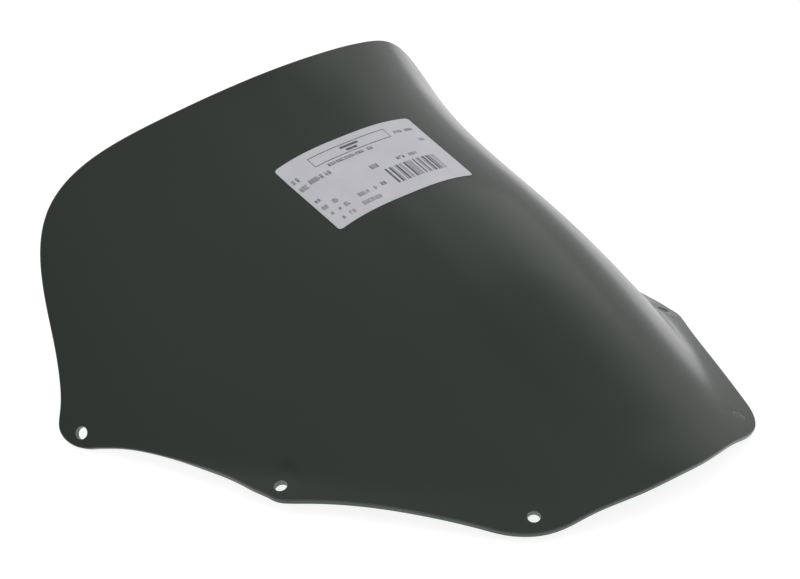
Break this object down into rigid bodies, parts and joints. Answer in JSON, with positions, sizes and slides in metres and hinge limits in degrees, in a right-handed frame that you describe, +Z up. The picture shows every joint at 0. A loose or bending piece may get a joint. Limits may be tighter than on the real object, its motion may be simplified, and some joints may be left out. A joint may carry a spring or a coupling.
{
  "type": "windshield screen",
  "caption": "Domed dark-tinted acrylic motorcycle windshield screen with a turned-up top lip, a screw flange and a stock label.",
  "frame": {"origin": "middle of the footprint, on the surface that the screen stands on", "axes": "front edge towards -Y, width along X, +Z up with the lower screw lobes on the table"},
  "size_m": [0.354, 0.32, 0.1496],
  "materials": {
    "tinted_acrylic": "thermoformed dark-tinted acrylic sheet, polished",
    "label_film": "printed self-adhesive label film, satin"
  },
  "bodies": {
    "root": {"windshield_screen": "tinted_acrylic", "stock_label": "label_film"}
  },
  "joints": []
}
